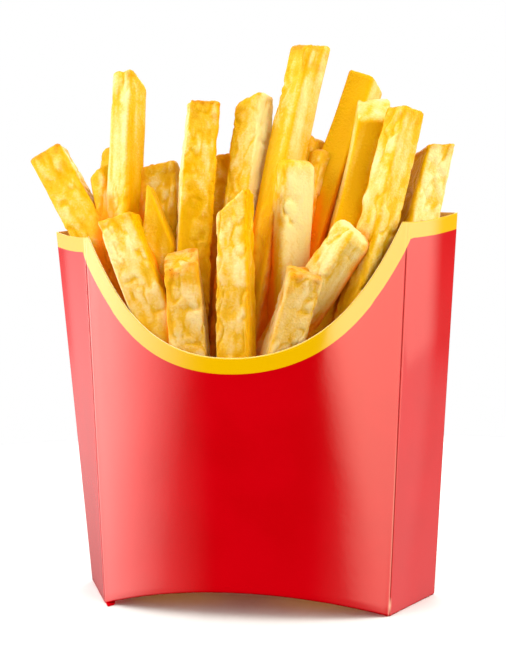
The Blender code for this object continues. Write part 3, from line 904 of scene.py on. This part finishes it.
# %% Fried potato
def fried_potato():
    """Golden, lightly oiled skin: a ramp over paleness, browned by toast, with flecks of 0.4 mm."""
    material, tree, shader = new_material("fried potato")
    pale, toast, low_shade, crowd = (
        add_node(tree, "Attribute", attribute_name=name).outputs["Fac"]
        for name in ("pale", "toast", "low_shade", "crowd"))
    place = add_node(tree, "TexCoord").outputs["Object"]
    flecks = add_node(tree, "TexNoise", {"Vector": place, "Scale": 1500.0, "Detail": 3.0})
    shift = add_node(tree, "Math", {0: flecks, 1: 0.5}, operation="SUBTRACT")
    speckled = add_node(tree, "Math", {0: shift, 1: 0.5, 2: pale}, operation="MULTIPLY_ADD")
    skin = add_node(tree, "ValToRGB", {"Fac": speckled})
    stops = skin.color_ramp.elements
    stops[0].position, stops[0].color = 0.1, linear("#E6AC00")
    stops[1].position, stops[1].color = 0.9, linear("#F5DF9C")
    stops.new(0.4).color = linear("#EBB92E")
    # Painted shade: low in the heap the skin is mixed towards brown.
    low = add_node(tree, "Mix", {0: low_shade, 6: skin, 7: linear("#B56A1C")}, **COLOURS)
    # Painted bounce light and shade: crowded skin is mixed towards a deep orange.
    close = add_node(tree, "MapRange", {0: crowd, 1: 0.15, 2: 0.9, 3: 0.0, 4: 0.95}, **SMOOTH_RAMP)
    between = add_node(tree, "Mix", {0: close, 6: low, 7: linear("#FF8A08")}, **COLOURS)
    browned = add_node(tree, "Mix", {0: toast, 6: between, 7: linear("#D98810")}, **COLOURS)
    specks = add_node(tree, "TexNoise", {"Vector": place, "Scale": 1900.0, "Detail": 2.0})
    spotted = add_node(tree, "MapRange", {0: specks, 1: 0.6, 2: 0.7}, **SMOOTH_RAMP)
    dark = add_node(tree, "Math", {0: spotted, 1: toast}, operation="MULTIPLY")
    fried = add_node(tree, "Mix", {0: dark, 6: browned, 7: linear("#A9580E")}, **COLOURS)
    bump = add_node(tree, "Bump", {"Height": flecks, "Strength": 0.8, "Distance": 0.0003})
    set_inputs(shader, {
        "Base Color": fried, "Roughness": 0.4, "IOR": 1.45, "Normal": bump,
        "Specular IOR Level": 0.15, "Specular Tint": (1, 0.85, 0.35, 1), "Subsurface Weight": 0.35,
        "Subsurface Radius": (1.0, 0.45, 0.12), "Subsurface Scale": 0.0015})
    return material


POTATO = fried_potato()

# %% [markdown]
# Fries that stand in the open are made finely, down to where the scoop hides them. Each group
# becomes one mesh. Light that bounces between fries that stand close turns orange. The shader on
# its own gives less of that than is wanted, so each point also stores how crowded it is, and its
# skin is tinted by that.

# %% Fries in the open
STANDING = FRONT_FRIES + BACK_FRIES + LOW_FRIES
HALF_FRY, CROWD_REACH, CROWD_LOSS, CROWD_LEVELS = 5, 1.8, 0.55, (100, 132)
# Painted shade low in the heap: its largest share of brown, and the heights in mm over which it fades
# out.
LOW_SHADE_MOST, LOW_SHADE_LEVELS = 0.3, (86, 108)


def crowding(points, fry):
    """How closely other fries stand beside each point, from 0 to 1. At the point's own height the
    gap to a neighbour is the level distance to its axis less 5 mm. A neighbour counts only well
    below its tip, and high in the heap, where more light gets in, all of them count less than half."""
    total = np.zeros(points.shape[:-1])
    for other in STANDING:
        if other is fry:
            continue
        _, direction = fry_axes(other)
        slope = direction[:2] / direction[2]
        axis = (other.x, other.y) + (points[..., 2:] - other.z) * slope
        gap = np.maximum(np.linalg.norm(points[..., :2] - axis, axis=-1) - HALF_FRY, 0)
        total += np.exp(-gap / CROWD_REACH) * smooth(other.z + 2 - points[..., 2], 4, 22)
    return np.clip(total, 0, 1) * (1 - CROWD_LOSS * smooth(points[..., 2], *CROWD_LEVELS))


SHOWN_FROM = 66
BACK_SHOWN_FROM = 92
INSIDE_SHOWN_FROM = 70


def heap_piece(name, fries, first_seed, shown_from, around):
    """One mesh of several fries: their grids, one after the other, and their skin's attributes."""
    points, faces, skins = [], [], []
    start = 0
    for number, fry in enumerate(fries):
        _, direction = fry_axes(fry)
        fine_length = (fry.z - shown_from) / direction[2]
        grid, pale, toast = fry_surface(fry, first_seed + number, fine_length, around)
        pressed = press_inside(grid)
        points.append(pressed.reshape(-1, 3))
        faces.append(grid_faces(*grid.shape[:2]) + start)
        skins.append([share.ravel() for share in (pale, toast, crowding(pressed, fry))])
        start += pale.size
    points = np.concatenate(points)
    skin = dict(zip(("pale", "toast", "crowd"), (np.concatenate(shares) for shares in zip(*skins))))
    skin["low_shade"] = LOW_SHADE_MOST - LOW_SHADE_MOST * smooth(points[:, 2], *LOW_SHADE_LEVELS)
    piece = make_piece(name, points, np.concatenate(faces)[:, ::-1], [POTATO], skin)
    merge_doubles(piece)
    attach(piece, "root")
    triangles = sum(len(face.vertices) - 2 for face in piece.data.polygons)
    print(name, len(fries), "fries,", triangles, "triangles")
    return piece


half = len(FRONT_FRIES) // 2
fries_left = heap_piece("fries_left", FRONT_FRIES[:half], 1, SHOWN_FROM, 96)
heap_piece("fries_right", FRONT_FRIES[half:], 31, SHOWN_FROM, 96)
heap_piece("fries_back", BACK_FRIES, 61, BACK_SHOWN_FROM, 88)
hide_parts("fries")

# %% [markdown]
# The rest of the portion stands lower, between and behind the others, and fills the carton. Their
# places are drawn at random on rows, with a lean that fans out towards the sides, and a fry is kept
# only where it keeps its distance from the walls and from every fry so far.

# %% Fries within the heap
FILL_ROWS = {-7: 66, -2: 82, 3: 96, 8: 108, 11: 114}
FILL_STEP = 2.5
FILL_SPACING = 7.4
FILL_WALL_ROOM = 5.4
FILL_HEIGHTS = np.array([40, 60, 80, 100])


def axis_points(fry, heights):
    """Where a fry's axis crosses each height."""
    _, direction = fry_axes(fry)
    return np.array([fry.x, fry.y, fry.z]) + direction * ((heights - fry.z) / direction[2])[:, None]


def fits(fry, standing):
    """Whether a fry clears the walls and the standing fries at every height that it reaches."""
    heights = FILL_HEIGHTS[FILL_HEIGHTS < fry.z]
    places = axis_points(fry, heights)
    if min(room.min() for room in wall_room(places)[0]) < FILL_WALL_ROOM:
        return False
    for other in standing:
        apart = np.linalg.norm(axis_points(other, heights) - places, axis=-1)
        if apart[heights < other.z + 4].min(initial=99) <= FILL_SPACING:
            return False
    return True


def fill_fries(standing):
    """More fries, row by row and from left to right, each with the first lean that lets it fit."""
    draw = random.Random(11)
    found = []
    for row, top in FILL_ROWS.items():
        for x in np.arange(-52, 52.1, FILL_STEP):
            z = top + draw.uniform(-5, 5)
            sizes = [draw.uniform(8.2, 9.6) for _ in range(2)]
            turn, skin = draw.uniform(0, 90), draw.uniform(0.2, 0.9)
            for tilt in (0, -5, 5, -10, 10):
                lean = 0.3 * x + tilt
                tip = x + (z - 60) * math.tan(math.radians(lean))
                length = z - draw.uniform(14, 24)
                fry = Fry(tip, row, z, lean, 0, length, *sizes, turn, tilt, -tilt, 0, 1.4, 1.4,
                          skin, -0.5, 0.4)
                if fits(fry, standing + found):
                    found.append(fry)
                    break
    return found


heap_piece("fries_inside", LOW_FRIES + fill_fries(STANDING), 101, INSIDE_SHOWN_FROM, 60)

# %% [markdown]
# Nobody sees the bottom of the heap, so a plain lumpy core fills the carton's foot below the fries.

# %% Core of the heap
CORE_TOP, CORE_FOOT = 56, 3.2
CORE_SIDES = 120
CORE_SHARE = (1 - 3.5 / 50, 1 - 2.5 / 22, 1)


def core_grid():
    """Rings of the carton's own section, drawn in a little, and shrinking rings at both ends."""
    turn = np.linspace(0, 2 * np.pi, CORE_SIDES, endpoint=False)
    across = np.cos(turn)
    levels = np.concatenate([np.zeros(4), np.linspace(0, 1, 14), np.ones(6)])
    shrink = np.concatenate([np.linspace(0.001, 0.9, 4), np.ones(14), np.linspace(0.92, 0.001, 6)])
    foot_level = foot_height(across) + CORE_FOOT
    rings = []
    for level, scale in zip(levels, shrink):
        z = foot_level + (CORE_TOP - foot_level) * level
        section = np.where(np.sin(turn)[:, None] > 0, panel(1, across, z), panel(-1, across, z))
        ring = section * CORE_SHARE
        middle = ring.mean(axis=0) * (1, 1, 0) + z[:, None] * (0, 0, 1)
        rings.append(middle + (ring - middle) * scale)
    grid = np.stack(rings)
    grid[..., 2] += 2.5 * noise(grid / 9, 4) * levels[:, None]
    for pole in (0, -1):
        grid[pole] = grid[pole].mean(axis=0)
    return grid


core_points = core_grid()
# The core counts as fully crowded, so it takes the painted orange of bounced light all over.
core_skin = {name: np.full(core_points[..., 0].size, value)
             for name, value in (("pale", 0.1), ("toast", 0.5), ("crowd", 1.0), ("low_shade", 0.0))}
core_faces = grid_faces(*core_points.shape[:2])
core = make_piece("heap_core", core_points.reshape(-1, 3), core_faces, [POTATO], core_skin)
merge_doubles(core)
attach(core, "root")
print("core up to", core_points[..., 2].max().round(1), "mm")

# %% [markdown]
# ## Studio
# The object stands on a plain pale floor, which takes its shadow but throws no light back on it.
# Two large softboxes stand left and right of the camera: they light the sides of the fries and lie
# as two soft bright fields on the carton's gloss, with a deep red strip between them. A third hangs
# in front overhead for the cut ends, and a weak one lights the back. A surround that is pale at the
# sides and overhead fills the shadows.

# %% Floor, lamps and surround
LEFT_GLOW, RIGHT_GLOW = 2.5, 2.15
TOP_GLOW = 0.9
FLOOR_RADIUS = 0.45
FLOOR_SIDES = 96
LAMP_MIDDLE = 0.5


def plain_floor():
    """Matt white studio paper."""
    material, tree, shader = new_material("studio paper")
    place = add_node(tree, "TexCoord").outputs["Object"]
    tooth = add_node(tree, "TexNoise", {"Vector": place, "Scale": 60.0, "Detail": 4.0})
    uneven = add_node(tree, "MapRange", {0: tooth, 1: 0.3, 2: 0.7}, **SMOOTH_RAMP)
    tone = add_node(tree, "Mix", {0: uneven, 6: linear("#F4F4F3"), 7: linear("#F8F8F7")}, **COLOURS)
    set_inputs(shader, {"Base Color": tone, "Roughness": 0.9})
    floor_mesh = bpy.data.meshes.new("floor")
    turn = np.linspace(0, 2 * np.pi, FLOOR_SIDES, endpoint=False)
    rim = np.stack([np.cos(turn), np.sin(turn), 0 * turn], -1) * FLOOR_RADIUS
    floor_mesh.from_pydata(rim.tolist(), [], [list(range(len(rim)))])
    floor_mesh.materials.append(material)
    floor = new_object("floor", floor_mesh)
    floor.visible_glossy = False
    floor.visible_shadow = False
    floor.visible_diffuse = False
    floor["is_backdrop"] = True


def softbox(name, azimuth, elevation, distance, size, radiance, fade, roll=0.0, aim=(0, 0, 0.07),
            colour=(1, 1, 1)):
    """A rectangular lamp that faces the object. Azimuth counts from the front to the right, in
    degrees. Its brightness runs from one radiance at its left edge to another at its right edge,
    and fades over a share of its half width and half height. Its power is pi x radiance x area."""
    lamp = bpy.data.lights.new(name, "AREA")
    lamp.shape = "RECTANGLE"
    lamp.size, lamp.size_y = size
    brightest = max(radiance)
    lamp.energy = brightest * math.pi * size[0] * size[1]
    lamp.color = colour
    lamp.use_nodes = True
    tree = lamp.node_tree
    place = add_node(tree, "NewGeometry").outputs["Parametric"]
    sides = add_node(tree, "SeparateXYZ", {"Vector": place})
    inside = []
    for axis, share in zip("XY", fade):
        from_middle = {0: sides.outputs[axis], 1: LAMP_MIDDLE}
        offset = add_node(tree, "Math", from_middle, operation="SUBTRACT")
        away = add_node(tree, "Math", {0: offset}, operation="ABSOLUTE")
        fading = {0: away, 1: LAMP_MIDDLE - share / 2, 2: LAMP_MIDDLE, 3: 1.0, 4: 0.0}
        inside.append(add_node(tree, "MapRange", fading, **SMOOTH_RAMP))
    edges = add_node(tree, "Math", {0: inside[0], 1: inside[1]}, operation="MULTIPLY")
    left, right = (value / brightest for value in radiance)
    slope = add_node(tree, "MapRange", {0: sides.outputs["X"], 3: left, 4: right}, **SMOOTH_RAMP)
    glow = add_node(tree, "Math", {0: edges, 1: slope}, operation="MULTIPLY")
    set_inputs(tree.nodes["Emission"], {"Strength": glow})
    holder = new_object(name, lamp)
    a, e = math.radians(azimuth), math.radians(elevation)
    outward = Vector((math.sin(a) * math.cos(e), -math.cos(a) * math.cos(e), math.sin(e)))
    holder.location = Vector(aim) + outward * distance
    holder.rotation_euler = outward.to_track_quat("Z", "Y").to_euler()
    holder.rotation_euler.rotate_axis("Z", math.radians(roll))


def surround():
    """White to the camera; for light and gloss, dark in front, pale at the sides, bright above."""
    world = bpy.data.worlds.new("surround")
    bpy.context.scene.world = world
    world.use_nodes = True
    tree = world.node_tree
    tree.nodes.clear()
    direction = add_node(tree, "TexCoord").outputs["Generated"]
    parts = add_node(tree, "SeparateXYZ", {"Vector": direction})
    left, right, above = (
        add_node(tree, "MapRange", {0: parts.outputs[axis], 1: low, 2: high, 3: start, 4: end},
                 **SMOOTH_RAMP)
        for axis, low, high, start, end in (
            ("X", -1.4, -0.32, LEFT_GLOW, 0.0), ("X", 0.32, 1.4, 0.0, RIGHT_GLOW),
            ("Z", 0.25, 0.8, 0.0, TOP_GLOW)))
    both_sides = add_node(tree, "Math", {0: left, 1: right}, operation="ADD")
    strength = add_node(tree, "Math", {0: both_sides, 1: above}, operation="ADD")
    glow = add_node(tree, "Background", {"Color": (1, 0.99, 0.97, 1), "Strength": strength})
    white = add_node(tree, "Background", {"Color": (1, 1, 1, 1), "Strength": 1.0})
    seen = add_node(tree, "LightPath").outputs["Is Camera Ray"]
    mixed = add_node(tree, "MixShader", {0: seen, 1: glow, 2: white})
    add_node(tree, "OutputWorld", {"Surface": mixed})


plain_floor()
softbox("left_softbox", -61, 1.5, 0.6, (0.61, 1.4), (7.1, 0.0), (0.28, 1.0), roll=-43,
        colour=(1, 1, 0.95))
softbox("right_softbox", 62, 7, 0.6, (0.80, 0.82), (3.5, 0.9), (0.12, 0.35), roll=-46,
        colour=(1, 1, 0.84))
softbox("top_softbox", -8, 56, 0.7, (0.8, 0.5), (2.3, 2.3), (0.5, 0.5))
softbox("back_softbox", 180, 40, 0.8, (0.8, 0.6), (2.6, 2.6), (0.5, 0.5))
surround()
bpy.context.scene.view_settings.view_transform = "Standard"

# %% [markdown]
# ## Camera
# The lens is of ordinary length and stands close, a little above the middle of the carton and to
# its right, turned back to the left.

# %% Camera
CAMERA_PLACE = (45.99, -229.64, 73.46)
CAMERA_TURN, CAMERA_TILT, CAMERA_ROLL = -10.74, 2.04, -0.95
FOCAL_LENGTH = 42.79


def front_camera():
    """Looks along a direction given by a turn to the right and a tilt up, then rolls about it."""
    camera = bpy.data.cameras.new("camera")
    camera.sensor_width = 36
    camera.lens = FOCAL_LENGTH
    camera.clip_start = 0.01
    holder = new_object("camera", camera)
    turn, tilt, roll = (math.radians(angle) for angle in (CAMERA_TURN, CAMERA_TILT, CAMERA_ROLL))
    level = math.cos(tilt)
    forward = Vector((math.sin(turn) * level, math.cos(turn) * level, math.sin(tilt)))
    right = Vector((math.cos(turn), -math.sin(turn), 0))
    up = right.cross(forward)
    rolled_right = right * math.cos(roll) + up * math.sin(roll)
    rolled_up = up * math.cos(roll) - right * math.sin(roll)
    axes = Matrix((rolled_right, rolled_up, -forward)).transposed().to_4x4()
    place = Vector(CAMERA_PLACE) * MM + Vector(CARTON_MIDDLE)
    holder.matrix_world = Matrix.Translation(place) @ axes
    bpy.context.scene.camera = holder
    return holder


camera = front_camera()
print("camera at", [round(value, 3) for value in camera.matrix_world.translation])

# %% [markdown]
# ## Sizes
# The dressed object should stay inside the imported model's box, so both boxes are printed.

# %% Print the two boxes
seen_low, seen_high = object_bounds()
sizes = {"cad": [list(cad_low), list(cad_high)], "visual": [list(seen_low), list(seen_high)]}
for name, (low, high) in sizes.items():
    print(name, [round(value / MM, 2) for value in low], [round(value / MM, 2) for value in high])
